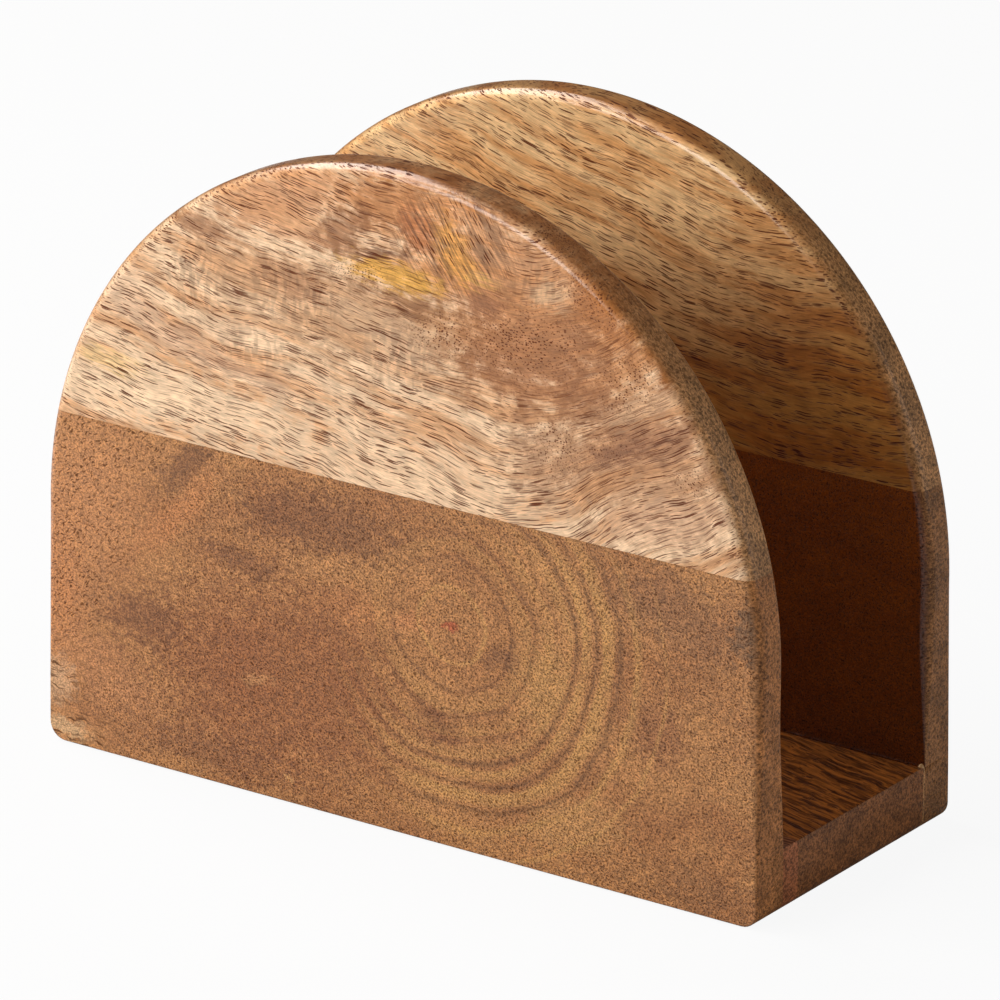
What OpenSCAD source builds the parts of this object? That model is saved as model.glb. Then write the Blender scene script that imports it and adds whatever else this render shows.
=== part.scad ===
// Free-standing napkin holder of solid wood. Two equal arched panels stand face to face
// on either side of a base, and the napkins stand on edge in the slot between them.
// Each panel is two boards glued edge to edge: a light board above the seam and a brown
// one below it. The base is a wide board with a narrow strip glued along its front side.
// Six short dowels pin the panels to the base.
// Frame: X runs along the panels, Y from front to back and Z up. The origin is under the
// middle of the holder, on the surface that it stands on.

/* [Panels] */
// Width of a panel, along X
panel_width = 160; // [120:1:240]
// Height of the straight sides, up to where the arch starts
side_height = 47.5; // [30:0.5:100]
// Thickness of a panel
panel_thickness = 8.75; // [8:0.25:20]
// Height of the seam between a panel's light board and its brown one
seam_height = 66; // [35:0.5:85]
// Radius of the round-over along a panel's outer edges
edge_round = 1.6; // [0.5:0.1:3.5]

/* [Base] */
// Clear width of the slot between the panels
slot_width = 47.5; // [40:0.5:90]
// Thickness of the base
base_thickness = 13; // [10:0.5:25]
// Width of the strip along the front side of the base
strip_width = 4.8; // [3:0.2:10]
// Radius of the lower corners at both ends of the holder
foot_round = 2; // [0.5:0.5:8]

/* [Dowels] */
// Diameter of a dowel
dowel_diameter = 6; // [4:0.5:8]
// Length of a dowel
dowel_length = 22; // [16:1:22]
// How deep a dowel sits in its panel
dowel_panel_depth = 5.5; // [4:0.5:6]
// Distance from one dowel to the next along the base
dowel_pitch = 50; // [30:1:55]
// Bevel at both ends of a dowel
dowel_bevel = 0.8; // [0.3:0.1:1.5]
// Radius of the glue grooves along a dowel
groove_radius = 0.4; // [0.2:0.1:0.6]
// Number of glue grooves round a dowel
groove_count = 10; // [6:1:12]
// Gap for glue all round a dowel in its hole
dowel_gap = 0.05; // [0.02:0.01:0.1]
// Spare depth of the hole past each end of a dowel
dowel_end_gap = 0.3; // [0.1:0.1:0.6]

/* [Hidden] */
$fn = 96;
arch_radius = panel_width / 2;
panel_height = side_height + arch_radius;
slot_half = slot_width / 2;
holder_depth = slot_width + 2 * panel_thickness;
dowel_radius = dowel_diameter / 2;
hole_radius = dowel_radius + dowel_gap;
dowel_height = base_thickness / 2;
// How far a cut reaches past what it cuts
past = 1;
light_wood = "#c9a07a";
brown_wood = "#99673f";
base_wood = "#7c5b42";
strip_wood = "#9c674a";
dowel_wood = "#d9c096";

// Children, and their mirror image across the middle of the holder's width.
module both_ends() {
    children();
    mirror([1, 0, 0]) children();
}

// Children at the back, turned about from the front.
module at_back() {
    mirror([0, 1, 0]) children();
}

// What a round-over takes off a square corner at the origin, with the body in +X +Y.
module corner_waste(radius) {
    difference() {
        translate([-past, -past]) square(radius + past);
        translate([radius, radius]) circle(radius);
    }
}

// Section through the arch, from its middle out to the rim, rounded on both faces.
module arch_section() {
    difference() {
        square([arch_radius, panel_thickness]);
        translate([arch_radius, 0]) rotate(90) corner_waste(edge_round);
        translate([arch_radius, panel_thickness]) rotate(180) corner_waste(edge_round);
    }
}

// Section through the straight sides, seen from above. The inner face lies on Y = 0.
// Its edges are rounded only above the base, where they stand free.
module side_section(inner_round) {
    difference() {
        translate([-arch_radius, -panel_thickness]) square([panel_width, panel_thickness]);
        both_ends() {
            translate([arch_radius, -panel_thickness]) rotate(90) corner_waste(edge_round);
            if (inner_round) translate([arch_radius, 0]) rotate(180) corner_waste(edge_round);
        }
    }
}

// What rounds the lower corner at the +X end, right through the holder's depth.
module foot_waste() {
    translate([arch_radius, 0, 0]) rotate([90, 0, 0])
        linear_extrude(2 * holder_depth, center = true) rotate(90) corner_waste(foot_round);
}

// What rounds a panel's outer edge along the surface that the holder stands on.
module sole_waste() {
    translate([0, -panel_thickness, 0]) rotate([90, 0, 90])
        linear_extrude(2 * panel_width, center = true) corner_waste(edge_round);
}

// One whole panel as it stands at the front, with its inner face on Y = 0.
module panel() {
    translate([0, 0, side_height]) rotate([90, 0, 0])
        rotate_extrude(angle = 180) arch_section();
    difference() {
        union() {
            linear_extrude(base_thickness) side_section(false);
            translate([0, 0, base_thickness])
                linear_extrude(side_height - base_thickness) side_section(true);
        }
        both_ends() foot_waste();
        sole_waste();
    }
}

// The part of the front panel between two heights, in its place.
module panel_board(bottom, top) {
    translate([0, -slot_half, 0]) intersection() {
        panel();
        translate([-arch_radius - past, -panel_thickness - past, bottom])
            cube([panel_width + 2 * past, panel_thickness + 2 * past, top - bottom]);
    }
}

module upper_board() {
    panel_board(seam_height, panel_height + past);
}

module lower_board() {
    difference() {
        panel_board(-past, seam_height);
        dowel_holes();
    }
}

// Part of the base between two places across the slot, with its end corners rounded.
module base_piece(front, back) {
    difference() {
        translate([-arch_radius, front, 0]) cube([panel_width, back - front, base_thickness]);
        both_ends() foot_waste();
        dowel_holes();
        at_back() dowel_holes();
    }
}

// Holes for the front dowels: through the panel's inner face and on into the base.
module dowel_holes() {
    for (place = [-dowel_pitch, 0, dowel_pitch])
        translate([place, -slot_half - dowel_panel_depth - dowel_end_gap, dowel_height])
            rotate([-90, 0, 0]) cylinder(r = hole_radius, h = dowel_length + 2 * dowel_end_gap);
}

// Outline of a dowel from its axis outwards, bevelled at both ends.
module dowel_section() {
    polygon([
        [0, 0],
        [dowel_radius - dowel_bevel, 0],
        [dowel_radius, dowel_bevel],
        [dowel_radius, dowel_length - dowel_bevel],
        [dowel_radius - dowel_bevel, dowel_length],
        [0, dowel_length]
    ]);
}

// One front dowel in its hole, with glue grooves along it.
module dowel(place) {
    color(dowel_wood) translate([place, -slot_half - dowel_panel_depth, dowel_height])
        rotate([-90, 0, 0]) difference() {
            rotate_extrude() dowel_section();
            for (turn = [0 : groove_count - 1])
                rotate(turn * 360 / groove_count) translate([dowel_radius, 0, -past])
                    cylinder(r = groove_radius, h = dowel_length + 2 * past, $fn = 24);
        }
}

module front_upper_board() {
    color(light_wood) upper_board();
}

module front_lower_board() {
    color(brown_wood) lower_board();
}

module back_upper_board() {
    color(light_wood) at_back() upper_board();
}

module back_lower_board() {
    color(brown_wood) at_back() lower_board();
}

module base_board() {
    color(base_wood) base_piece(strip_width - slot_half, slot_half);
}

module base_front_strip() {
    color(strip_wood) base_piece(-slot_half, strip_width - slot_half);
}

front_upper_board();
front_lower_board();
back_upper_board();
back_lower_board();
base_board();
base_front_strip();
dowel(-dowel_pitch);  // dowel_front_left
dowel(0);  // dowel_front_middle
dowel(dowel_pitch);  // dowel_front_right
at_back() dowel(-dowel_pitch);  // dowel_back_left
at_back() dowel(0);  // dowel_back_middle
at_back() dowel(dowel_pitch);  // dowel_back_right
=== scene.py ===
"""Looks of a wooden napkin holder: two arched panels of figured wood on a plain base."""

import math
from collections import namedtuple

import bmesh
import bpy
from mathutils import Matrix, Vector


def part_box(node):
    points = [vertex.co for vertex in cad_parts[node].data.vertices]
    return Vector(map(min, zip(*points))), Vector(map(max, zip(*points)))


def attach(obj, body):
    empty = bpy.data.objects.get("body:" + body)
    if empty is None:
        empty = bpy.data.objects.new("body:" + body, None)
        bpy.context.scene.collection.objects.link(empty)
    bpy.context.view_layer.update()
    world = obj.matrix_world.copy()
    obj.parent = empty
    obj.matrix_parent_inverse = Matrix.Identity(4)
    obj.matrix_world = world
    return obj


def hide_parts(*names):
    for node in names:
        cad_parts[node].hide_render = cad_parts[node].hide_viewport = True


bl_info = {
    "name": "Napkin Holder",
    "version": (1, 0, 0),
    "blender": (4, 5, 0),
    "location": "View3D > Sidebar > Napkin Holder",
    "description": "Models the boards of a wooden napkin holder and gives them their wood",
    "category": "Object",
}

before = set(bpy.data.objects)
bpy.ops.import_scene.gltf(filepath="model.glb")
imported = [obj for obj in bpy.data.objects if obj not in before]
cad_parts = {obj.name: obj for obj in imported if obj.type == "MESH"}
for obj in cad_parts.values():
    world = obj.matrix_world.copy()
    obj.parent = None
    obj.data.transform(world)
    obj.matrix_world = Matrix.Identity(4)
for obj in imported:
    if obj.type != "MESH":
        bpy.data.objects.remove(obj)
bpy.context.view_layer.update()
MM = 0.001

# Sizes read from the frame, in metres.
PANEL_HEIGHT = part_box("front_upper_board")[1].z
LOWER_LOW, LOWER_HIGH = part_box("front_lower_board")
BASE_LOW, BASE_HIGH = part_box("base_board")
STRIP_LOW, STRIP_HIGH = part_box("base_front_strip")
HALF_WIDTH = LOWER_HIGH.x
SIDE_HEIGHT = PANEL_HEIGHT - HALF_WIDTH
OUTER_Y = -LOWER_LOW.y
INNER_Y = -LOWER_HIGH.y
BASE_TOP = BASE_HIGH.z
SEAM_HEIGHT = LOWER_HIGH.z

# Steps of the curved outlines and of the small bevels.
ARCH_STEPS = 240
CORNER_STEPS = 8
ROUND_STEPS = 6
EASE_STEPS = 2
# Heights up the sides at which their round-over may change: the first one, and the step.
FIRST_SIDE_STEP = 4.2 * MM
SIDE_STEP = 2.2 * MM
# How much sooner the inner edges reach their full round-over than the outer ones.
INNER_RISE = 1.4
# Width of the strips that keep the large faces flat and plain.
STRIP_WIDTH = 8 * MM
# Edges sharper than the first angle are rounded over, and those up to the second look smooth.
SHARP_ANGLE = math.radians(40)
SMOOTH_ANGLE = math.radians(35)
# How far the bead of glue spreads past the dip in the base, and its steps round and up.
BEAD_SPREAD = 0.3 * MM
BEAD_STEPS = (32, 20)
# How close two places have to be to count as the same one.
TINY = 1e-6
# How deep the open pores look.
PORE_DEPTH = 0.05 * MM
# Gloss of the wood itself, and roughness and refraction of the lacquer on it.
WOOD_GLOSS = 0.15
LACQUER_ROUGHNESS = 0.2
LACQUER_REFRACTION = 1.5
# A depth in millimetres that reaches right through the holder.
RIGHT_THROUGH = 1e5


def srgb(red, green, blue):
    """Linear colour of a screen colour given from 0 to 255."""
    def linear(level):
        share = level / 255
        if share <= 0.04045:
            return share / 12.92
        return ((share + 0.055) / 1.055) ** 2.4
    return tuple(linear(level) for level in (red, green, blue))


# ---------------------------------------------------------------- sizes and colours

def length(name, description, millimetres):
    """A length that the user can change."""
    return bpy.props.FloatProperty(
        name=name, description=description, default=millimetres * MM, min=0, unit="LENGTH", precision=4
    )


def colour(name, description, red, green, blue):
    """A colour that the user can change."""
    return bpy.props.FloatVectorProperty(
        name=name, description=description, default=srgb(red, green, blue), subtype="COLOR", min=0, max=1
    )


class HolderSizes(bpy.types.PropertyGroup):
    """Sizes of the finish, which follow the real holder closer than the construction does."""

    arch_round: length("Arch round-over", "Radius of the round-over along the arches", 2.5)
    side_round: length("Side round-over", "Radius of the round-over down the outer sides", 0.8)
    sole_round: length("Sole round-over", "Radius of the round-over along the underside", 0.5)
    left_corner: length("Left corner", "Radius of the lower left corner", 3.6)
    right_corner: length("Right corner", "Radius of the lower right corner", 3.2)
    seam_left: length("Seam at the left", "How far the seam lies above its height at the left", 0.5)
    seam_right: length("Seam at the right", "How far the seam lies below its height at the right", 0.1)
    base_break: length("Base edge", "Bevel along the upper edges of the base's ends", 0.35)
    base_dip: length("Base dip", "Fall of the base board's top beside the back panel", 0.8)
    strip_fall: length("Strip fall", "Fall of the strip's top beside the front panel", 0.5)
    bead_length: length("Glue bead, length", "Length of the bead of glue at the base's end", 1.4)
    bead_height: length("Glue bead, height", "Height of the bead of glue above the base", 0.5)


class HolderColours(bpy.types.PropertyGroup):
    """Colours of the woods, as they look in even light."""

    light_pale: colour("Light wood, pale", "Palest wood of the upper boards", 240, 202, 162)
    light_mid: colour("Light wood, middle", "Middle tone of the upper boards", 216, 162, 114)
    light_dark: colour("Light wood, dark", "Darkest bands of the upper boards", 176, 118, 72)
    light_pore: colour("Light wood, pores", "Pores of the upper boards", 96, 40, 12)
    brown_pale: colour("Brown wood, pale", "Palest wood of the lower boards", 182, 126, 74)
    brown_mid: colour("Brown wood, middle", "Middle tone of the lower boards", 164, 108, 62)
    brown_pore: colour("Brown wood, pores", "Pores of the lower boards", 66, 30, 10)
    brown_gold: colour("Brown wood, rings", "Golden growth rings of the front's lower board", 206, 154, 86)
    pith: colour("Pith", "Red heart of the growth rings", 176, 78, 44)
    light_end: colour("Light wood, ends", "Brown of the upper boards' sawn ends", 186, 136, 88)
    end_grain: colour("Brown wood, ends", "Brown of the lower boards' sawn ends", 172, 114, 66)
    back_end: colour("Back board, ends", "Brown of the back lower board's sawn ends", 152, 104, 62)
    end_pore: colour("End grain, pores", "Fine pores of the sawn ends", 52, 26, 10)
    base_mid: colour("Base wood", "Middle tone of the base", 160, 92, 36)
    base_dark: colour("Base wood, dark", "Dark streaks of the base", 60, 26, 6)
    base_end: colour("Base wood, ends", "Brown of the base's sawn ends", 136, 88, 52)
    strip_mid: colour("Strip wood", "Middle tone of the narrow strip", 172, 104, 64)
    beech: colour("Beech", "Wood of the dowels", 216, 184, 140)
    glue: colour("Glue", "Hardened glue in the base's joint", 196, 150, 98)
    floor: colour("Floor", "The pale floor", 206, 204, 202)


# ---------------------------------------------------------------- node recipes

Patch = namedtuple("Patch", "what x z wide high tilt colour strength")


class Recipe:
    """Builds one material. Each step adds a node and hands back its output."""

    def __init__(self, name):
        self.material = bpy.data.materials.new(name)
        self.material.use_nodes = True
        self.tree = self.material.node_tree
        self.shader = self.tree.nodes["Principled BSDF"]
        self.place = self.vector("SCALE", self.add("ShaderNodeTexCoord", {}, "Object"), Scale=1 / MM)
        self.facing = self.add("ShaderNodeTexCoord", {}, "Normal")

    def feed(self, socket, value):
        """Links an output to an input, or sets the input's value."""
        if isinstance(value, bpy.types.NodeSocket):
            self.tree.links.new(value, socket)
        elif socket.type == "RGBA":
            socket.default_value = (*value, 1)
        else:
            socket.default_value = value

    def add(self, kind, inputs, output=0, **settings):
        """Adds a node with its settings and inputs."""
        node = self.tree.nodes.new(kind)
        for name, value in settings.items():
            setattr(node, name, value)
        for key, value in inputs.items():
            self.feed(node.inputs[key], value)
        return node.outputs[output]

    def math(self, operation, *values):
        """Arithmetic on numbers."""
        return self.add("ShaderNodeMath", dict(enumerate(values)), operation=operation)

    def vector(self, operation, *values, **named):
        """Arithmetic on vectors."""
        inputs = {**dict(enumerate(values)), **named}
        output = "Value" if operation == "LENGTH" else "Vector"
        return self.add("ShaderNodeVectorMath", inputs, output, operation=operation)

    def parts(self, vector):
        """The three numbers of a vector."""
        node = self.tree.nodes.new("ShaderNodeSeparateXYZ")
        self.feed(node.inputs[0], vector)
        return node.outputs[0], node.outputs[1], node.outputs[2]

    def joined(self, x, y, z):
        """A vector of three numbers."""
        return self.add("ShaderNodeCombineXYZ", {0: x, 1: y, 2: z})

    def stretched(self, vector, long, deep, high):
        """Space in which one step is that many millimetres each way."""
        return self.vector("DIVIDE", vector, (long, deep, high))

    def noise(self, vector, size, detail, roughness=0.5, output="Fac"):
        """Soft noise whose clouds are that many millimetres long, deep and high."""
        space = self.stretched(vector, *size)
        inputs = {"Vector": space, "Scale": 1.0, "Detail": detail, "Roughness": roughness}
        return self.add("ShaderNodeTexNoise", inputs, output)

    def shift(self, vector, size, reach, detail=1.0):
        """Soft random moves of up to about half the reach, over distances of the given size."""
        cloud = self.noise(vector, (size, size, size), detail, output="Color")
        return self.vector("MULTIPLY", self.vector("SUBTRACT", cloud, (0.5, 0.5, 0.5)), reach)

    def moved(self, vector, *shifts):
        """A place after one or more moves."""
        for shift in shifts:
            vector = self.vector("ADD", vector, shift)
        return vector

    def turned(self, vector, x, z, degrees):
        """Space turned about a place on the front. Its X rises to the right by that angle."""
        inputs = {"Vector": vector, "Location": (x, 0, z), "Rotation": (0, -math.radians(degrees), 0)}
        return self.add("ShaderNodeMapping", inputs, vector_type="TEXTURE")

    def seen_from_front(self, vector):
        """A place's X and Z alone, for pores that run from front to back."""
        x, _, z = self.parts(vector)
        return self.joined(x, z, 0)

    def cells(self, vector, size, space="3D"):
        """Scattered cells of that size: how far their middles are, and a random colour for each."""
        node = self.tree.nodes.new("ShaderNodeTexVoronoi")
        node.voronoi_dimensions = space
        self.feed(node.inputs["Vector"], self.stretched(vector, *size))
        node.inputs["Scale"].default_value = 1.0
        return node.outputs["Distance"], node.outputs["Color"]

    def pores(self, vector, cell, least, most, soft=0.1, space="3D"):
        """Scattered lens-shaped pores, each of its own width between least and most of its cell."""
        gap, chances = self.cells(vector, cell, space)
        chance, strength, _ = self.parts(chances)
        reach = self.math("MULTIPLY_ADD", chance, most - least, least)
        mask = self.spread(self.math("SUBTRACT", reach, gap), 0, soft)
        return self.both(mask, self.spread(strength, 0, 0.6, 0.5, 1))

    def both(self, first, second):
        """Where both masks hold."""
        return self.math("MULTIPLY", first, second)

    def either(self, first, second):
        """Where one of two masks holds."""
        return self.math("MAXIMUM", first, second)

    def without(self, mask):
        """The rest of a mask."""
        return self.math("SUBTRACT", 1.0, mask)

    def swapped(self, mask, other, where):
        """A mask, with another one in its stead where a third one holds."""
        return self.either(self.both(mask, self.without(where)), self.both(other, where))

    def full_range(self, noise):
        """A noise with its middle range, in which most of it lies, spread from 0 to 1."""
        return self.spread(noise, 0.3, 0.7)

    def shaded(self, paint, mask, low, high):
        """Darkens and lightens a colour, from low where the mask is 0 to high where it is 1."""
        level = self.math("MULTIPLY_ADD", mask, high - low, low)
        return self.vector("SCALE", paint, Scale=level)

    def end_grain(self):
        """1 on the sawn ends, which face along X, and 0 on the faces along the grain."""
        return self.spread(self.math("ABSOLUTE", self.parts(self.facing)[0]), 0.35, 0.9)

    def painted_inside_shade(self, paint, tint):
        """Paints shade, as a darker tint, over all that doesn't face backwards: the back panel's inner
        face and its rim.
        """
        inside = self.spread(self.parts(self.facing)[1], 0.5, 0)
        return self.mix(inside, paint, self.vector("MULTIPLY", paint, tint))

    def spread(self, value, low, high, start=0.0, end=1.0):
        """Smooth step from start, at low, to end, at high."""
        inputs = {0: value, 1: low, 2: high, 3: start, 4: end}
        return self.add("ShaderNodeMapRange", inputs, interpolation_type="SMOOTHSTEP", clamp=True)

    def mix(self, amount, below, above):
        """One colour mixed with another by an amount from 0 to 1."""
        inputs = {0: amount, 6: below, 7: above}
        return self.add("ShaderNodeMix", inputs, 2, data_type="RGBA", clamp_factor=True)

    def laid(self, paint, mask, strength, above):
        """Lays a colour over another through a mask, at a share of its full strength."""
        return self.mix(self.math("MULTIPLY", mask, strength), paint, above)

    def spot(self, vector, x, z, wide, high, tilt=0.0, soft=0.8, ragged=0.0):
        """1 in the middle of a tilted ellipse on the front, and 0 past its edge."""
        inputs = {
            "Vector": vector,
            "Location": (x, 0, z),
            "Rotation": (0, -math.radians(tilt), 0),
            "Scale": (wide, RIGHT_THROUGH, high),
        }
        inside = self.vector("LENGTH", self.add("ShaderNodeMapping", inputs, vector_type="TEXTURE"))
        return self.spread(self.math("ADD", inside, ragged), 1.0, 1.0 - soft)

    def patches(self, paint, vector, listed, ragged):
        """Lays patches of other wood over a colour, with ragged edges."""
        for patch in listed:
            mask = self.spot(vector, patch.x, patch.z, patch.wide, patch.high, patch.tilt, 0.7, ragged)
            paint = self.laid(paint, mask, patch.strength, srgb(*patch.colour))
        return paint

    def areas(self, vector, listed):
        """Where any listed ellipse lies, each given by the numbers that a spot takes."""
        found = 0.0
        for area in listed:
            found = self.either(self.spot(vector, *area), found)
        return found

    def ramp(self, value, stops):
        """Colours along a range, each stop given as its place and its colour."""
        node = self.tree.nodes.new("ShaderNodeValToRGB")
        self.feed(node.inputs[0], value)
        elements = node.color_ramp.elements
        while len(elements) > 1:
            elements.remove(elements[-1])
        elements[0].position = stops[0][0]
        elements[0].color = (*stops[0][1], 1)
        for where, tone in stops[1:]:
            elements.new(where).color = (*tone, 1)
        return node.outputs[0]

    def rings(self, vector, cell):
        """Small rings round scattered points, like the rims of pores that are cut across."""
        gap, _ = self.cells(vector, cell)
        return self.both(self.spread(gap, 0.08, 0.2), self.spread(gap, 0.46, 0.28))

    def finished(self, paint, pores, colours, sawn, rim=(1, 1, 1)):
        """Deepens the rims, partly as painted shade on their round-overs, speckles the sawn ends, and lays
        the lacquer over it all.
        """
        # Painted shade along the round-overs and rims, where the surface turns away from Y, together with
        # their own deeper tone.
        edge = self.spread(self.math("ABSOLUTE", self.parts(self.facing)[1]), 0.85, 0.3)
        paint = self.mix(edge, paint, self.vector("MULTIPLY", paint, rim))
        ends = self.end_grain()
        cloud = self.noise(self.place, (12, 5, 5), 2)
        grit = self.noise(self.place, (3, 0.42, 0.42), 2, 0.7)
        sawn = self.mix(0.8, paint, sawn)
        sawn = self.shaded(sawn, self.full_range(cloud), 0.8, 1.2)
        sawn = self.shaded(sawn, self.spread(grit, 0.32, 0.68), 0.5, 1.5)
        sawn = self.laid(sawn, self.rings(self.place, (5, 0.8, 0.8)), 0.6, colours.end_pore)
        paint = self.mix(ends, paint, sawn)
        rough = self.spread(pores, 0, 1, 0.4, 0.6)
        # The lacquer sinks into open pores and sawn ends.
        bare = self.either(pores, self.math("MULTIPLY", ends, 0.8))
        return self.lacquered(paint, rough, self.without(pores), self.spread(bare, 0, 1, 0.8, 0))

    def lacquered(self, paint, rough, height, coat):
        """Feeds the shader: satin lacquer over wood whose pores show as dimples."""
        self.feed(self.shader.inputs["Base Color"], paint)
        self.feed(self.shader.inputs["Roughness"], rough)
        inputs = {"Strength": 1.0, "Distance": PORE_DEPTH, "Height": height}
        self.feed(self.shader.inputs["Normal"], self.add("ShaderNodeBump", inputs))
        self.feed(self.shader.inputs["Coat Weight"], coat)
        self.shader.inputs["Specular IOR Level"].default_value = WOOD_GLOSS
        self.shader.inputs["Coat Roughness"].default_value = LACQUER_ROUGHNESS
        self.shader.inputs["Coat IOR"].default_value = LACQUER_REFRACTION
        return self.material


# ---------------------------------------------------------------- woods

FRONT_FIGURE = (
    Patch("tan field across the middle", -6, 98, 48, 13, -2, (194, 148, 106), 0.7),
    Patch("warm field, upper right", 30, 110, 46, 24, -20, (192, 122, 62), 0.75),
    Patch("warm field, right", 54, 84, 34, 20, 14, (186, 130, 84), 0.75),
    Patch("cream band over the seam, left", -50, 74, 48, 9, -2, (248, 212, 172), 0.85),
    Patch("cream band over the seam, middle", 2, 70, 52, 8, -1, (242, 204, 164), 0.8),
    Patch("yellow tint by the left rim", -66, 79, 11, 2.6, -4, (244, 198, 124), 0.6),
    Patch("grey-pink band", -46, 86, 32, 4.5, -14, (206, 160, 124), 0.6),
    Patch("pale field, left", -62, 94, 13, 6, -12, (240, 200, 162), 0.6),
    Patch("pale field, middle left", -35, 91, 13, 4.5, -6, (238, 198, 158), 0.6),
    Patch("brown edge of the figure", -42, 108.5, 13, 3.0, -8, (166, 114, 74), 0.8),
    Patch("brown curl", -22, 103, 12, 5.5, -6, (178, 126, 84), 0.7),
    Patch("pale curls, middle", 2, 93, 9, 8, 0, (224, 182, 142), 0.5),
    Patch("orange field under the top", -24, 119, 22, 7, 16, (214, 152, 102), 0.85),
    Patch("orange line under the field", -22, 112, 26, 2.2, -2, (218, 158, 110), 0.7),
    Patch("red-brown top", 0, 122, 19, 7, 0, (194, 128, 72), 0.85),
    Patch("brown swirl beside the knot", -11, 115, 10, 5, 30, (152, 96, 52), 0.8),
    Patch("knot", 6, 118, 7, 6, -50, (178, 106, 56), 0.8),
    Patch("dark lower edge of the knot", -4, 111.5, 12, 1.6, 8, (120, 74, 40), 0.75),
    Patch("yellow streak under the knot", 0, 108, 16, 3.6, -4, (232, 170, 70), 0.95),
    Patch("yellow wedge beside the knot", 15, 114, 5, 9, 30, (222, 154, 70), 0.85),
    Patch("yellow fleck beside the wedge", 20, 110, 5, 1.8, 0, (222, 168, 86), 0.7),
    Patch("brown edge under the yellow", 4, 103.5, 18, 2.4, -4, (150, 98, 54), 0.75),
    Patch("brown swirl, right", 21, 106, 8, 3, 8, (150, 96, 62), 0.7),
    Patch("tan field with dots", 31, 98, 22, 13, 10, (172, 112, 66), 0.85),
    Patch("brown band down the tan field", 44, 92, 7, 16, 60, (158, 102, 60), 0.6),
    Patch("cream fleck", 35, 111, 7, 3.5, 20, (226, 182, 138), 0.7),
    Patch("orange field, right", 46, 111, 11, 8, -35, (182, 114, 58), 0.9),
    Patch("orange rim, right", 61, 101, 11, 5, -42, (178, 110, 56), 0.9),
    Patch("pale band, right", 57, 95, 19, 3.0, 26, (214, 168, 126), 0.8),
    Patch("tan field under the pale band", 56, 87, 22, 6, 24, (172, 120, 82), 0.8),
    Patch("cluster of dark dots", 52, 85, 11, 3.4, 26, (138, 90, 58), 0.7),
    Patch("tan field, lower middle", 32, 78, 10, 10, 0, (188, 140, 100), 0.7),
    Patch("cream field, lower right", 60, 73, 22, 6, 18, (218, 172, 134), 0.7),
)


# Where the front's light board has dotted wood and curls, each as x, z, half width, half
# height and tilt, and its knot, as x, z, half width, half height and lie of the grain.
FRONT_DOTS = (
    (30, 100, 22, 13, 8),
    (50, 98, 14, 9, 25),
    (12, 99, 12, 8, 0),
    (36, 82, 9, 10, 0),
    (48, 84, 10, 5, 15),
    (44, 112, 12, 8, -30),
    (-6, 107, 14, 3, 0),
    (66, 82, 8, 4, 20),
)
FRONT_CURLS = (
    (-22, 100, 16, 9, 0),
    (-44, 99, 9, 11, 0),
    (2, 93, 12, 9, 0),
    (-30, 88, 12, 6, 0),
    (32, 112, 8, 7, 0),
)
FRONT_KNOT = (14, 116, 17, 13, -55)
# How much a rim deepens its wood, for each of red, green and blue: partly the rim's own deeper tone,
# partly painted shade along the round-overs.
RIM_TONE_AND_SHADE = (0.44, 0.35, 0.26)
# Painted shade for the back panel's woods, as tints: of the light one at its low right and its
# high left, and of the brown one.
PLAIN = (1, 1, 1)
BACK_LIGHT_PAINTED_SHADE = ((0.36, 0.22, 0.08), (1.0, 0.94, 0.74))
BACK_BROWN_PAINTED_SHADE = (0.34, 0.17, 0.04)
# Lie of the grain on a light board: its rise along X at the left, and at the right its rise
# and the height in millimetres that this is reckoned from.
FRONT_BEND = (-0.14, 0.56, -22.0)
BACK_BEND = (-0.3, 0.0, -8.0)
# Length, depth and height in millimetres of the cells that hold one stroke each.
FRONT_STROKE = (5.4, 0.5, 0.3)
BACK_STROKE = (4.4, 0.6, 0.34)
# How far a wood's patterns are moved, in millimetres, so that like pieces differ.
FRONT_SEED = 0
BACK_SEED = 300
STRIP_SEED = 50


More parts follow.
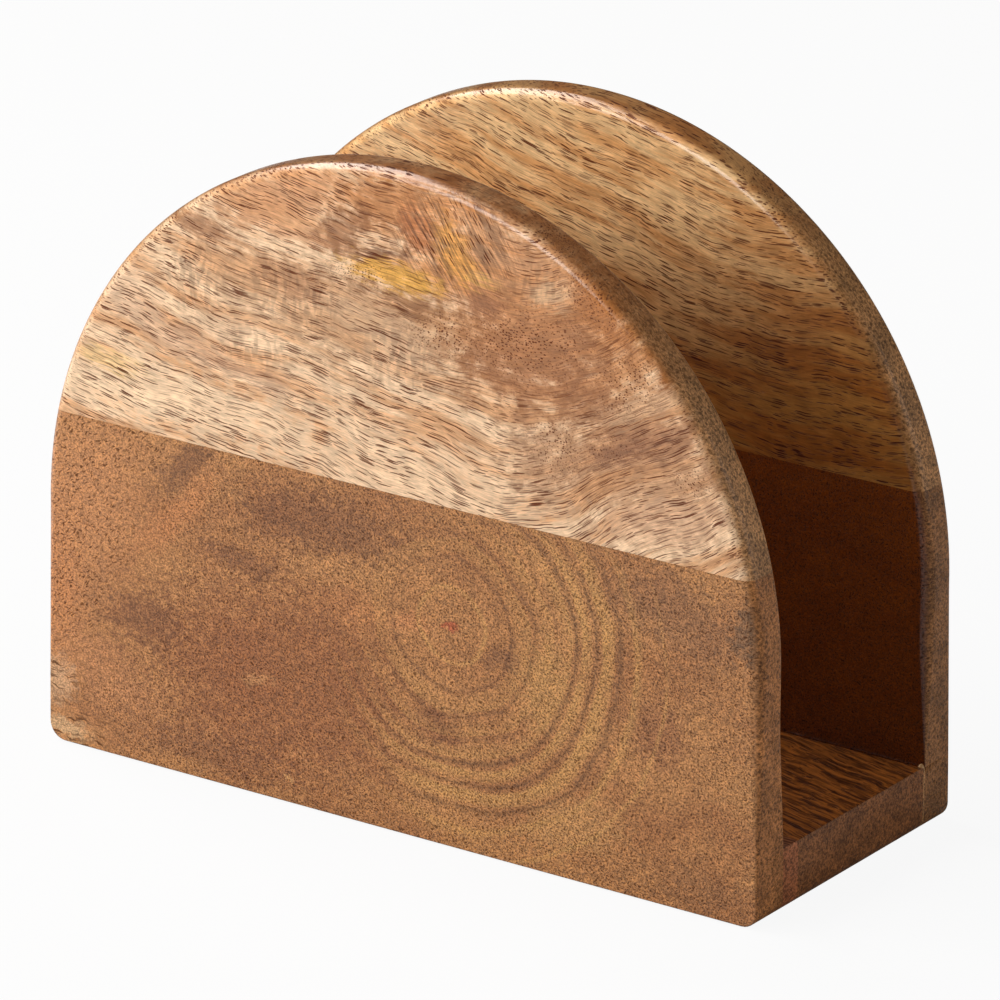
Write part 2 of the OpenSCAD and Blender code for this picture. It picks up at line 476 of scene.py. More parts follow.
def light_wood(name, colours, figure, dots, curls, knot, bend, stroke, painted_shade_tints, seed):
    """Light tan wood with wavy dark pores, for an upper board."""
    recipe = Recipe(name)
    place = recipe.moved(recipe.place, (0, seed, 0))
    drift = recipe.shift(place, 26, (8, 4, 5), 1)
    ripple = recipe.shift(place, 7, (1.2, 1, 1.2), 2)
    loose = recipe.moved(place, drift, ripple)
    x, y, z = recipe.parts(loose)
    # The grain falls from the left, and past the middle it levels out or rises again.
    left = recipe.math("MULTIPLY", x, bend[0])
    right = recipe.math("MULTIPLY_ADD", x, bend[1], bend[2])
    sweep = recipe.math("SMOOTH_MAX", left, right, 12.0)
    grain = recipe.joined(x, y, recipe.math("SUBTRACT", z, sweep))

    # Streaks feather the edges of the bands and patches.
    streaks = recipe.noise(grain, (11, 1.5, 0.6), 3, 0.6)
    feather = recipe.vector("SCALE", (0, 0, 7), Scale=recipe.math("SUBTRACT", streaks, 0.5))
    painted = recipe.moved(recipe.place, drift, ripple, feather)
    bands = recipe.noise(grain, (36, 12, 3.6), 3, 0.6)
    tone = recipe.mix(recipe.spread(bands, 0.40, 0.62), colours.light_pale, colours.light_mid)
    tone = recipe.mix(recipe.spread(bands, 0.58, 0.78, 0, 0.6), tone, colours.light_dark)
    mottle = recipe.noise(loose, (4, 4, 3), 4, 0.65)
    ragged = recipe.math("MULTIPLY_ADD", mottle, 1.6, -0.8)
    tone = recipe.patches(tone, painted, figure, ragged)
    tone = recipe.shaded(tone, recipe.full_range(streaks), 1.07, 0.9)
    tone = recipe.shaded(tone, recipe.full_range(mottle), 0.86, 1.12)
    hairs = recipe.noise(grain, (3, 0.35, 0.24), 2, 0.6)
    tone = recipe.shaded(tone, recipe.full_range(hairs), 0.82, 1.16)
    curl = recipe.spread(recipe.noise(loose, (1.2, 8, 3.4), 1), 0.42, 0.58)
    curled = recipe.areas(recipe.place, curls)
    tone = recipe.mix(curled, tone, recipe.shaded(tone, curl, 0.82, 1.12))

    # Pores along the grain show as strokes, and as dots where they are cut across.
    density = recipe.noise(loose, (12, 9, 6), 1)
    strokes = recipe.pores(grain, stroke, 0.22, 0.5)
    hooks = recipe.pores(grain, (16, 0.6, 0.44), 0.12, 0.36)
    strokes = recipe.both(recipe.either(strokes, hooks), recipe.spread(density, 0.32, 0.56, 0.7, 1))
    speckle = recipe.pores(loose, (0.56, 1.2, 0.38), 0.24, 0.46)
    dotted = recipe.areas(painted, dots)
    pores = recipe.swapped(strokes, speckle, dotted)
    if knot:
        knot_x, knot_z, knot_wide, knot_high, knot_grain = knot
        around = recipe.turned(loose, knot_x, knot_z, knot_grain)
        spokes = recipe.pores(around, (3.2, 0.45, 0.34), 0.2, 0.46)
        ribs = recipe.noise(around, (8, 5, 0.55), 2, 0.6)
        near = recipe.spot(painted, knot_x, knot_z, knot_wide, knot_high, 0, 0.6)
        ribbed = recipe.shaded(tone, recipe.spread(ribs, 0.36, 0.64), 0.55, 1.25)
        tone = recipe.mix(near, tone, ribbed)
        pores = recipe.swapped(pores, spokes, near)
    tone = recipe.laid(tone, pores, 0.95, colours.light_pore)
    # Painted shade: the inner face grows deeper in colour down to the right, between two tints.
    fall = recipe.spread(recipe.math("MULTIPLY_ADD", x, -0.35, z), 60, 118)
    tone = recipe.painted_inside_shade(tone, recipe.mix(fall, painted_shade_tints[0], painted_shade_tints[1]))
    return recipe.finished(tone, pores, colours, colours.light_end, RIM_TONE_AND_SHADE)


BROWN_FIGURE = (
    Patch("light left end", -74, 50, 26, 22, 20, (192, 130, 80), 0.75),
    Patch("orange left edge", -80, 30, 12, 22, 0, (192, 124, 72), 0.7),
    Patch("tan field, lower left", -66, 16, 18, 9, -20, (184, 124, 78), 0.6),
    Patch("pale lower left", -79, 13, 7, 7, 0, (206, 162, 120), 0.7),
    Patch("cream streak in the corner", -78, 3, 9, 3, -6, (214, 176, 130), 0.6),
    Patch("red-brown middle", -26, 24, 40, 26, 0, (146, 86, 46), 0.7),
    Patch("dark band, upper left", -47, 62, 5, 13, -45, (116, 72, 42), 0.65),
    Patch("light diagonal band", -49, 52, 4.5, 18, -45, (190, 124, 72), 0.8),
    Patch("dark cloud, left", -56, 29, 12, 7, 10, (118, 72, 42), 0.55),
    Patch("dark streak, middle left", -34, 46, 12, 3.4, -8, (120, 74, 44), 0.55),
    Patch("dark field under the seam", -16, 57, 26, 9, 0, (124, 76, 44), 0.65),
    Patch("dark field at the foot", -40, 6, 22, 6, -4, (132, 80, 46), 0.55),
    Patch("fleck", -30, 23, 5, 2, 25, (192, 136, 84), 0.6),
    Patch("small fleck", -24, 5, 1.4, 0.7, 0, (206, 150, 92), 0.8),
    Patch("orange field", -8, 42, 11, 6, 0, (182, 118, 68), 0.6),
    Patch("brown ring round the pith", 14, 42, 22, 17, 0, (174, 118, 68), 0.6),
    Patch("golden field, right of the pith", 34, 37, 7, 12, -20, (192, 140, 80), 0.7),
    Patch("golden field, low", 40, 10, 16, 8, 20, (190, 138, 82), 0.7),
    Patch("golden right edge", 76, 25, 10, 9, 0, (186, 130, 76), 0.7),
    Patch("dark upper right", 62, 56, 20, 9, -10, (142, 96, 62), 0.6),
    Patch("grey corner under the seam", 78, 56, 6, 7, 0, (116, 84, 56), 0.7),
    Patch("red cloud, right", 58, 33, 9, 8, 0, (142, 88, 54), 0.6),
    Patch("dark foot, right", 66, 6, 16, 6, 0, (142, 94, 58), 0.5),
    Patch("red cloud under the pith", 11, 24, 7, 5, 0, (132, 80, 46), 0.7),
    Patch("dark cloud beside the pith", 25, 39, 5, 4, 0, (136, 88, 54), 0.6),
    Patch("pink wedge beside the pith", 4, 42, 7, 3, 10, (192, 126, 76), 0.7),
)
# Middle of the growth rings on the front, and the rings round it: each a radius in
# millimetres and a level, where 0 is a dark ring, 0.5 plain wood and 1 a golden ring.
PITH_X, PITH_Z = 13.5, 43.7
RING_SPAN = 60
RINGS = (
    (6.4, 0.55), (7.4, 0.9), (8.2, 0.45), (12.4, 0.6), (13.3, 0.1), (14.1, 0.65), (17.4, 0.75),
    (18.3, 0.15), (19.1, 0.6), (22, 0.75), (22.8, 0.25), (23.6, 0.6), (26.2, 0.8), (27.3, 0),
    (28.2, 0.5), (28.9, 0.95), (30.8, 0.7), (31.9, 0.05), (32.7, 0.6), (33.6, 1), (35.8, 0.75),
    (37, 0.05), (38, 0.45), (39.6, 0.6), (40.4, 0.9), (42, 0.6), (46, 0.5), (46.8, 0.9),
    (47.8, 0.4), (49, 0.5),
)
# Where the left end's coarser pores and the lower left corner's strokes lie, each as x, z,
# half width, half height, tilt and the softness of its edge.
COARSE_END = ((-80, 46, 34, 42, 0, 0.6), (-66, 63, 28, 10, 0, 0.6))
STREAKED_CORNER = ((-78, 3, 18, 8, 0, 0.5), (-80, 14, 9, 6, 0, 0.5))


def brown_wood(name, colours, figure, tint, sawn, seed):
    """Warm brown wood for a lower board, with rings round a pith if it has a figure."""
    recipe = Recipe(name)
    place = recipe.moved(recipe.place, (0, seed, 0))
    drift = recipe.shift(place, 15, (7, 4, 7), 2)
    ripple = recipe.shift(place, 1.8, (2, 1, 2), 2)
    loose = recipe.moved(place, drift, ripple)
    painted = recipe.moved(recipe.place, drift, recipe.vector("SCALE", ripple, Scale=2.0))
    clouds = recipe.noise(loose, (18, 12, 12), 3, 0.6)
    mottle = recipe.noise(loose, (1.8, 3, 1.3), 3, 0.7)
    ragged = recipe.math("MULTIPLY_ADD", mottle, 1.4, -0.7)
    tone = recipe.mix(recipe.full_range(clouds), colours.brown_mid, colours.brown_pale)
    tone = recipe.patches(tone, painted, figure, ragged)
    tone = recipe.shaded(tone, recipe.spread(mottle, 0.25, 0.75), 0.78, 1.2)

    if figure:
        off_pith = recipe.vector("SUBTRACT", recipe.place, (PITH_X, 0, PITH_Z))
        wide_waves = recipe.shift(place, 13, (3, 0, 3))
        small_waves = recipe.shift(place, 3, (0.6, 0, 0.6))
        wobble = recipe.moved(off_pith, wide_waves, small_waves)
        radius = recipe.vector("LENGTH", recipe.vector("MULTIPLY", wobble, (1, 0, 1.03)))
        stops = [(where / RING_SPAN, (level, level, level)) for where, level in RINGS]
        ring = recipe.ramp(recipe.math("DIVIDE", radius, RING_SPAN), stops)
        fade = recipe.spread(recipe.noise(place, (6, 6, 6), 3, 0.7), 0.3, 0.55, 0.5, 1)
        reach = recipe.both(recipe.spot(recipe.place, 30, 31, 48, 46, 0, 0.5), fade)
        ringed = recipe.shaded(tone, recipe.spread(ring, 0, 0.5), 0.6, 1.02)
        ringed = recipe.mix(recipe.spread(ring, 0.5, 1, 0, 0.6), ringed, colours.brown_gold)
        tone = recipe.mix(reach, tone, ringed)
        heart = recipe.spot(painted, PITH_X, PITH_Z, 3.4, 1.3, 4)
        tone = recipe.laid(tone, heart, 0.8, colours.pith)

    grit = recipe.noise(place, (0.42, 3, 0.36), 1, 0.6)
    tone = recipe.shaded(tone, recipe.full_range(grit), 0.64, 1.36)
    rippled = recipe.moved(place, ripple)
    pores = recipe.pores(recipe.seen_from_front(rippled), (0.54, 0.46, 1), 0.26, 0.46, 0.2, "2D")
    if figure:
        slanted = recipe.seen_from_front(recipe.turned(rippled, 0, 0, 33))
        coarse = recipe.areas(painted, COARSE_END)
        dashes = recipe.pores(slanted, (1.7, 0.56, 1), 0.18, 0.36, 0.12, "2D")
        pores = recipe.swapped(pores, dashes, coarse)
        corner = recipe.areas(painted, STREAKED_CORNER)
        level = recipe.seen_from_front(recipe.turned(loose, 0, 0, -6))
        strokes = recipe.pores(level, (6, 0.7, 1), 0.14, 0.42, 0.12, "2D")
        pores = recipe.swapped(pores, strokes, corner)
    tone = recipe.laid(tone, pores, 0.74, colours.brown_pore)
    # Painted shade on the back board's inner face and rim, as a dark tint; plain on the front board.
    tone = recipe.painted_inside_shade(tone, tint)
    return recipe.finished(tone, pores, colours, sawn, RIM_TONE_AND_SHADE)


# Where the glue line begins on the base's ends, in millimetres along Y, and how soon it shows
# in full.
GLUE_LINE_Y = 23.35
GLUE_LINE_EDGE = 0.15
# How far the streaks of the base and of its strip turn from X, in degrees.
BASE_TILT = -15
STRIP_TILT = -4


def streaked_wood(name, colours, middle, dark, sawn, tilt, seed):
    """Dark wood with short streaks that run close to X, for the base."""
    recipe = Recipe(name)
    inputs = {"Vector": recipe.place, "Location": (0, 0, seed), "Rotation": (0, 0, math.radians(tilt))}
    turned = recipe.add("ShaderNodeMapping", inputs, vector_type="TEXTURE")
    loose = recipe.moved(turned, recipe.shift(turned, 7, (3, 2.4, 2.4), 2))
    bands = recipe.noise(loose, (18, 0.8, 0.8), 3, 0.65)
    tone = recipe.mix(recipe.spread(bands, 0.38, 0.64), middle, dark)
    hairs = recipe.noise(loose, (4, 0.3, 0.3), 2)
    tone = recipe.shaded(tone, recipe.full_range(hairs), 0.8, 1.15)
    pores = recipe.pores(loose, (6, 0.55, 0.55), 0.2, 0.46)
    tone = recipe.laid(tone, pores, 0.9, dark)
    # A line of glue shows on the ends, along the joint with the back panel.
    across = recipe.parts(recipe.place)[1]
    line = recipe.spread(across, GLUE_LINE_Y, GLUE_LINE_Y + GLUE_LINE_EDGE)
    sawn = recipe.mix(recipe.both(line, recipe.end_grain()), sawn, colours.glue)
    return recipe.finished(tone, pores, colours, sawn)


def hard_glue(name, colours):
    """Clouded, hardened wood glue with a soft gloss."""
    recipe = Recipe(name)
    cloud = recipe.noise(recipe.place, (0.5, 0.5, 0.5), 3, 0.6)
    tone = recipe.shaded(tuple(colours.glue), recipe.full_range(cloud), 0.75, 1.15)
    return recipe.lacquered(tone, recipe.spread(cloud, 0.3, 0.7, 0.35, 0.5), cloud, 0.3)


BEECH_FIBRE = srgb(182, 142, 98)
BEECH_FLECK = srgb(138, 96, 62)


def beech_wood(name, colours):
    """Raw beech with short flecks, for the dowels."""
    recipe = Recipe(name)
    fibre = recipe.noise(recipe.place, (0.5, 7, 0.5), 3, 0.6)
    tone = recipe.mix(recipe.spread(fibre, 0.35, 0.7), colours.beech, BEECH_FIBRE)
    flecks = recipe.spread(recipe.noise(recipe.place, (0.3, 1.6, 0.3), 1), 0.62, 0.68)
    tone = recipe.laid(tone, flecks, 0.5, BEECH_FLECK)
    return recipe.lacquered(tone, recipe.spread(fibre, 0.3, 0.7, 0.6, 0.75), fibre, 0.0)


# ---------------------------------------------------------------- modelling steps

def only(piece):
    """Selects one object and nothing else."""
    bpy.ops.object.select_all(action="DESELECT")
    piece.select_set(True)
    bpy.context.view_layer.objects.active = piece


def edit(piece):
    """Opens one object in edit mode with all of it selected."""
    only(piece)
    bpy.ops.object.mode_set(mode="EDIT")
    bpy.ops.mesh.select_all(action="SELECT")


def done():
    """Closes edit mode."""
    bpy.ops.object.mode_set(mode="OBJECT")


def started(name):
    """Names the new primitive and sets its place, turn and size in its mesh."""
    piece = bpy.context.object
    piece.name = name
    piece.data.name = name
    bpy.ops.object.transform_apply(location=True, rotation=True, scale=True)
    return piece


def middle_of(line):
    """The middle of an edge."""
    return (line.verts[0].co + line.verts[1].co) / 2


def choose_edges(piece, test):
    """Selects the edges of the open object whose middle passes a test."""
    bpy.ops.mesh.select_mode(type="EDGE")
    bpy.ops.mesh.select_all(action="DESELECT")
    shape = bmesh.from_edit_mesh(piece.data)
    for line in shape.edges:
        line.select_set(test(middle_of(line)))
    shape.select_flush_mode()
    bmesh.update_edit_mesh(piece.data)


def choose_end_edge(piece, side, height):
    """Selects the edges across one end of the open object, at one height."""
    place = side * HALF_WIDTH
    choose_edges(piece, lambda middle: abs(middle.x - place) < TINY and abs(middle.z - height) < TINY)


def round_lower_corners(piece, sizes):
    """Rounds the lower edges across both ends of the open object."""
    for side, radius in ((-1, sizes.left_corner), (1, sizes.right_corner)):
        choose_end_edge(piece, side, 0)
        bpy.ops.mesh.bevel(offset=radius, segments=CORNER_STEPS, affect="EDGES")


def push_out(move):
    """Extrudes what is selected by a move."""
    bpy.ops.mesh.extrude_region_move(TRANSFORM_OT_translate={"value": move})


def share_between(value, low, high):
    """How far a value has come from low to high, from 0 to 1."""
    return min(max((value - low) / (high - low), 0), 1)


def mark_round_overs(piece, radius_at, widest):
    """Gives each sharp edge its share of the widest round-over."""
    shape = bmesh.new()
    shape.from_mesh(piece.data)
    shares = shape.edges.layers.float.new("bevel_weight_edge")
    for line in shape.edges:
        if len(line.link_faces) == 2 and line.calc_face_angle(0) > SHARP_ANGLE:
            line[shares] = radius_at(line) / widest
    shape.to_mesh(piece.data)
    shape.free()


def round_over(piece, widest):
    """Rounds the marked edges."""
    only(piece)
    finish = piece.modifiers.new("round_over", "BEVEL")
    finish.limit_method = "WEIGHT"
    finish.width = widest
    finish.segments = ROUND_STEPS
    finish.use_clamp_overlap = False
    # Sliding folds the corners over where the round-over's width changes.
    finish.loop_slide = False
    bpy.ops.object.modifier_apply(modifier=finish.name)


def smooth_over(piece):
    """Shades the round edges smooth, with the large faces flat and the sawn ones sharp."""
    only(piece)
    bpy.ops.object.shade_smooth_by_angle(angle=SMOOTH_ANGLE)
    even = piece.modifiers.new("even_faces", "WEIGHTED_NORMAL")
    even.mode = "FACE_AREA"
    even.weight = 100
    even.keep_sharp = True
    bpy.ops.object.modifier_apply(modifier=even.name)


def whole_panel(name, outer_y, inner_y, sizes):
    """One arched panel before it is sawn at its seam, made from a disc."""
    bpy.ops.object.select_all(action="DESELECT")
    bpy.ops.mesh.primitive_circle_add(
        vertices=2 * ARCH_STEPS,
        radius=HALF_WIDTH,
        fill_type="NGON",
        location=(0, outer_y, SIDE_HEIGHT),
        rotation=(math.radians(90), 0, 0),
    )
    piece = started(name)
    edit(piece)
    cut_across((0, 0, SIDE_HEIGHT), (0, 0, 1), clear_inner=True)
    choose_edges(piece, lambda middle: middle.z < SIDE_HEIGHT + TINY)
    push_out((0, 0, -SIDE_HEIGHT))
    for height in side_steps():
        cut_across((0, 0, height), (0, 0, 1))
    for place in strip_places():
        cut_across((place, 0, 0), (1, 0, 0))
    bpy.ops.mesh.select_all(action="SELECT")
    push_out((0, inner_y - outer_y, 0))
    bpy.ops.mesh.select_all(action="SELECT")
    bpy.ops.mesh.normals_make_consistent(inside=False)
    round_lower_corners(piece, sizes)
    done()
    return piece


def side_steps():
    """Heights at which the sides get a cross line, so that their round-over can change."""
    count = int((SIDE_HEIGHT - FIRST_SIDE_STEP) / SIDE_STEP)
    return [FIRST_SIDE_STEP + SIDE_STEP * number for number in range(count + 1)]


def strip_places():
    """Places across a panel at which its large faces are cut into strips."""
    count = int(HALF_WIDTH / STRIP_WIDTH - 0.5)
    return [STRIP_WIDTH * number for number in range(-count, count + 1)]


def cut_across(place, facing, **cleared):
    """Cuts right across the open object, and keeps both sides unless one is to be cleared."""
    bpy.ops.mesh.select_all(action="SELECT")
    bpy.ops.mesh.bisect(plane_co=place, plane_no=facing, threshold=TINY, **cleared)


def sawn(whole, name, keep_upper, sizes):
    """One of the two boards that a panel is glued up from."""
    only(whole)
    bpy.ops.object.duplicate()
    piece = bpy.context.object
    piece.name = name
    piece.data.name = name
    left = Vector((-HALF_WIDTH, 0, SEAM_HEIGHT + sizes.seam_left))
    right = Vector((HALF_WIDTH, 0, SEAM_HEIGHT - sizes.seam_right))
    along = right - left
    edit(piece)
    upwards = (-along.z, 0, along.x)
    cut_across(left, upwards, use_fill=True, clear_inner=keep_upper, clear_outer=not keep_upper)
    done()
    return piece


def add_panel(side, outer_y, inner_y, sizes, woods):
    """Models both boards of a panel and gives them their wood."""
    whole = whole_panel(side + "_panel", outer_y, inner_y, sizes)

    def radius_at(line):
        """Radius of the round-over along one edge: none on the edges across the panel."""
        middle = middle_of(line)
        if any(abs(point.co.y - middle.y) > TINY for point in line.verts):
            return 0
        rise = share_between(middle.z, BASE_TOP, SIDE_HEIGHT)
        if abs(middle.y - outer_y) < TINY:
            foot = share_between(middle.z, FIRST_SIDE_STEP, BASE_TOP)
            lower = sizes.sole_round + (sizes.side_round - sizes.sole_round) * foot
            return lower + (sizes.arch_round - sizes.side_round) * rise
        return sizes.arch_round * min(rise * INNER_RISE, 1)

    mark_round_overs(whole, radius_at, sizes.arch_round)
    round_over(whole, sizes.arch_round)
    for level, keep_upper in (("upper", True), ("lower", False)):
        node = f"{side}_{level}_board"
        piece = sawn(whole, node + "_wood", keep_upper, sizes)
        smooth_over(piece)
        piece.data.materials.append(woods[level])
        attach(piece, "root")
        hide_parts(node)
    bpy.data.objects.remove(whole)


def block(name, low, high, sizes, eased_y, ease, wood, node):
    """A straight piece of the base, with its end corners rounded and one upper edge eased."""
    bpy.ops.object.select_all(action="DESELECT")
    bpy.ops.mesh.primitive_cube_add(size=1, location=(low + high) / 2, scale=high - low)
    piece = started(name)
    edit(piece)
    choose_edges(piece, lambda middle: abs(middle.y - eased_y) < TINY and middle.z > high.z - TINY)
    bpy.ops.mesh.bevel(offset=ease, segments=EASE_STEPS, affect="EDGES")
    round_lower_corners(piece, sizes)
    for side in (-1, 1):
        choose_end_edge(piece, side, high.z)
        bpy.ops.mesh.bevel(offset=sizes.base_break, segments=EASE_STEPS, affect="EDGES")
    done()
    bpy.ops.object.shade_smooth_by_angle(angle=SMOOTH_ANGLE)
    piece.data.materials.append(wood)
    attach(piece, "root")
    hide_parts(node)


def glue_bead(sizes, glue):
    """A bead of glue, squeezed out where the base meets the back panel at its right end."""
    half_length = sizes.bead_length / 2
    middle = Vector((HALF_WIDTH - half_length, INNER_Y, BASE_TOP - sizes.base_dip))
    reach = Vector((half_length, sizes.base_dip + BEAD_SPREAD, sizes.base_dip + sizes.bead_height))
    around, upwards = BEAD_STEPS
    bpy.ops.object.select_all(action="DESELECT")
    bpy.ops.mesh.primitive_uv_sphere_add(
        segments=around, ring_count=upwards, radius=1, location=middle, scale=reach
    )
    piece = started("glue_bead")
    edit(piece)
    cut_across(middle, (0, 1, 0), use_fill=True, clear_outer=True)
    cut_across(middle, (0, 0, 1), use_fill=True, clear_inner=True)
    done()
    bpy.ops.object.shade_smooth_by_angle(angle=SMOOTH_ANGLE)
    piece.data.materials.append(glue)
    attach(piece, "root")


# ---------------------------------------------------------------- stage

# The photograph's camera: its place and furthest sight in metres, its angles in degrees, and
# its lens and sensor in millimetres.
CAMERA_PLACE = (0.7607, -1.0846, 0.5408)
CAMERA_FAR = 20
CAMERA_AZIMUTH = 34.998
CAMERA_ELEVATION = 20.130
CAMERA_ROLL = -0.174
CAMERA_LENS = 274.9
CAMERA_SENSOR = 36
# The softboxes, each with its place, its size and its power in watts. All face one place.
SOFTBOXES = (
    ("front_softbox", (-0.43, -1.18, 0.72), (0.8, 0.6), 11),
    ("overhead_softbox", (-0.66, -0.16, 0.88), (0.95, 0.6), 14),
    ("side_softbox", (1.25, 0.55, 0.30), (1.1, 0.9), 6.5),
)
SOFTBOX_TARGET = (0, 0, 0.06)
# Strength of the even light all round.
ROOM_LIGHT = 0.05
# Width of the floor, how far it lies below the holder, and how much of it glows white.
FLOOR_WIDTH = 6
FLOOR_DROP = 0.2 * MM
FLOOR_GLOW = 0.92


def add_camera():
    """The camera, at the photograph's place and angle."""
    azimuth = math.radians(CAMERA_AZIMUTH)
    elevation = math.radians(CAMERA_ELEVATION)
    back = Vector((
        math.sin(azimuth) * math.cos(elevation),
        -math.cos(azimuth) * math.cos(elevation),
        math.sin(elevation),
    ))
    right = Vector((math.cos(azimuth), math.sin(azimuth), 0))
    up = back.cross(right)
    upright = Matrix((right, up, back)).transposed().to_4x4()
    roll = Matrix.Rotation(-math.radians(CAMERA_ROLL), 4, "Z")
    camera = bpy.data.cameras.new("camera")
    camera.lens = CAMERA_LENS
    camera.sensor_width = CAMERA_SENSOR
    camera.clip_end = CAMERA_FAR
    seen = bpy.data.objects.new("camera", camera)
    seen.matrix_world = Matrix.Translation(CAMERA_PLACE) @ upright @ roll
    bpy.context.scene.collection.objects.link(seen)
    bpy.context.scene.camera = seen


def add_softbox(name, place, size, power):
    """A large soft lamp that faces the holder."""
    lamp = bpy.data.lights.new(name, "AREA")
    lamp.shape = "RECTANGLE"
    lamp.size, lamp.size_y = size
    lamp.energy = power
    shown = bpy.data.objects.new(name, lamp)
    shown.location = place
    aim = Vector(SOFTBOX_TARGET) - Vector(place)
    shown.rotation_euler = aim.to_track_quat("-Z", "Y").to_euler()
    bpy.context.scene.collection.objects.link(shown)


def add_world():
    """Even white light all round, seen as plain white by the camera."""
    world = bpy.data.worlds.new("studio")
    world.use_nodes = True
    bpy.context.scene.world = world
    tree = world.node_tree
    light = tree.nodes["Background"]
    light.inputs["Color"].default_value = (1, 1, 1, 1)
    light.inputs["Strength"].default_value = ROOM_LIGHT
    backdrop = tree.nodes.new("ShaderNodeBackground")
    backdrop.inputs["Color"].default_value = (1, 1, 1, 1)
    rays = tree.nodes.new("ShaderNodeLightPath")
    choice = tree.nodes.new("ShaderNodeMixShader")
    tree.links.new(rays.outputs["Is Camera Ray"], choice.inputs[0])
    tree.links.new(light.outputs[0], choice.inputs[1])
    tree.links.new(backdrop.outputs[0], choice.inputs[2])
    tree.links.new(choice.outputs[0], tree.nodes["World Output"].inputs["Surface"])


def floor_material(colours):
    """Pale floor that the camera sees as almost plain white, with the holder's soft shadow."""
    recipe = Recipe("floor_white")
    recipe.tree.nodes.remove(recipe.shader)
    matt = recipe.add("ShaderNodeBsdfDiffuse", {"Color": tuple(colours.floor)})
    glow = recipe.add("ShaderNodeEmission", {"Color": (1.0, 1.0, 1.0), "Strength": 1.0})
    direct = recipe.add("ShaderNodeLightPath", {}, "Is Camera Ray")
    share = recipe.math("MULTIPLY", direct, FLOOR_GLOW)
    shown = recipe.add("ShaderNodeMixShader", {0: share, 1: matt, 2: glow})
    recipe.feed(recipe.tree.nodes["Material Output"].inputs["Surface"], shown)
    return recipe.material


# ---------------------------------------------------------------- operators

class HOLDER_OT_front_panel(bpy.types.Operator):
    """Model the front panel's light board and its brown board"""

    bl_idname = "holder.front_panel"
    bl_label = "Front Panel"

    def execute(self, context):
        sizes, colours = context.scene.holder_sizes, context.scene.holder_colours
        woods = {
            "upper": light_wood(
                "front_light_wood", colours, FRONT_FIGURE, FRONT_DOTS, FRONT_CURLS, FRONT_KNOT,
                FRONT_BEND, FRONT_STROKE, (PLAIN, PLAIN), FRONT_SEED,
            ),
            "lower": brown_wood(
                "front_brown_wood", colours, BROWN_FIGURE, PLAIN, colours.end_grain, FRONT_SEED
            ),
        }
        add_panel("front", -OUTER_Y, -INNER_Y, sizes, woods)
        return {"FINISHED"}


class HOLDER_OT_back_panel(bpy.types.Operator):
    """Model the back panel's light board and its brown board"""

    bl_idname = "holder.back_panel"
    bl_label = "Back Panel"

    def execute(self, context):
        sizes, colours = context.scene.holder_sizes, context.scene.holder_colours
        woods = {
            "upper": light_wood(
                "back_light_wood", colours, (), (), (), None,
                BACK_BEND, BACK_STROKE, BACK_LIGHT_PAINTED_SHADE, BACK_SEED,
            ),
            "lower": brown_wood(
                "back_brown_wood", colours, (), BACK_BROWN_PAINTED_SHADE, colours.back_end, BACK_SEED
            ),
        }
        add_panel("back", OUTER_Y, INNER_Y, sizes, woods)
        return {"FINISHED"}


class HOLDER_OT_base(bpy.types.Operator):
    """Model the base board, the narrow strip along its front and the bead of glue"""

    bl_idname = "holder.base"
    bl_label = "Base"

    def execute(self, context):
        sizes, colours = context.scene.holder_sizes, context.scene.holder_colours
        dark = streaked_wood(
            "base_dark_wood", colours, colours.base_mid, colours.base_dark, colours.base_end,
            BASE_TILT, FRONT_SEED,
        )
        red = streaked_wood(
            "strip_red_wood", colours, colours.strip_mid, colours.base_dark, colours.strip_mid,
            STRIP_TILT, STRIP_SEED,
        )
        block(
            "base_board_wood", BASE_LOW, BASE_HIGH, sizes, BASE_HIGH.y, sizes.base_dip,
            dark, "base_board",
        )
        block(
            "base_front_strip_wood", STRIP_LOW, STRIP_HIGH, sizes, STRIP_LOW.y, sizes.strip_fall,
            red, "base_front_strip",
        )
        glue_bead(sizes, hard_glue("hard_glue", colours))
        return {"FINISHED"}


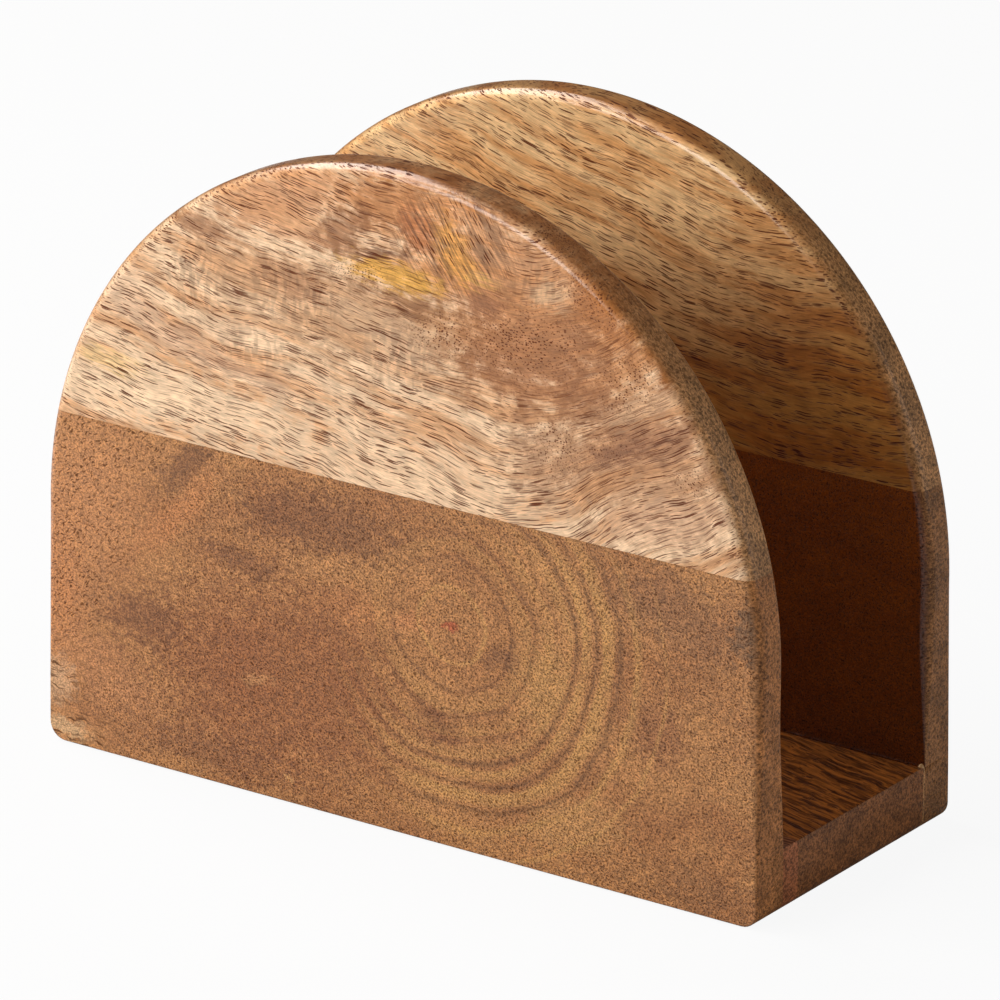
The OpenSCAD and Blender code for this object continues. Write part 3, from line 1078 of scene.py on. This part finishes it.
class HOLDER_OT_dowels(bpy.types.Operator):
    """Give the six hidden dowels their raw beech"""

    bl_idname = "holder.dowels"
    bl_label = "Dowels"

    def execute(self, context):
        beech = beech_wood("raw_beech", context.scene.holder_colours)
        dowels = [node for name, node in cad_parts.items() if name.startswith("dowel")]
        if not dowels:
            raise RuntimeError("the frame holds no dowels")
        for dowel in dowels:
            dowel.data.materials.clear()
            dowel.data.materials.append(beech)
        return {"FINISHED"}


class HOLDER_OT_stage(bpy.types.Operator):
    """Add the white floor, the soft lamps and the camera"""

    bl_idname = "holder.stage"
    bl_label = "Stage"

    def execute(self, context):
        bpy.ops.object.select_all(action="DESELECT")
        bpy.ops.mesh.primitive_plane_add(size=FLOOR_WIDTH, location=(0, 0, -FLOOR_DROP))
        floor = bpy.context.object
        floor.name = "floor"
        floor.data.materials.append(floor_material(context.scene.holder_colours))
        add_camera()
        add_world()
        for softbox in SOFTBOXES:
            add_softbox(*softbox)
        context.scene.view_settings.view_transform = "Standard"
        return {"FINISHED"}


class HOLDER_PT_panel(bpy.types.Panel):
    """Lists the steps that make the napkin holder"""

    bl_idname = "HOLDER_PT_panel"
    bl_label = "Napkin Holder"
    bl_space_type = "VIEW_3D"
    bl_region_type = "UI"
    bl_category = "Napkin Holder"

    def draw(self, context):
        for group in (context.scene.holder_sizes, context.scene.holder_colours):
            for name in group.__annotations__:
                self.layout.prop(group, name)
        for step in STEPS:
            self.layout.operator(step.bl_idname)


STEPS = (
    HOLDER_OT_stage,
    HOLDER_OT_front_panel,
    HOLDER_OT_back_panel,
    HOLDER_OT_base,
    HOLDER_OT_dowels,
)
CLASSES = (HolderSizes, HolderColours, *STEPS, HOLDER_PT_panel)


def register():
    """Registers the classes and their settings."""
    for made in CLASSES:
        bpy.utils.register_class(made)
    bpy.types.Scene.holder_sizes = bpy.props.PointerProperty(type=HolderSizes)
    bpy.types.Scene.holder_colours = bpy.props.PointerProperty(type=HolderColours)


def unregister():
    """Takes the classes and their settings away again."""
    del bpy.types.Scene.holder_colours
    del bpy.types.Scene.holder_sizes
    for made in reversed(CLASSES):
        bpy.utils.unregister_class(made)


def main():
    """Makes the holder step by step."""
    register()
    bpy.ops.holder.stage()
    bpy.ops.holder.front_panel()
    bpy.ops.holder.back_panel()
    bpy.ops.holder.base()
    bpy.ops.holder.dowels()


if __name__ == "__main__":
    main()
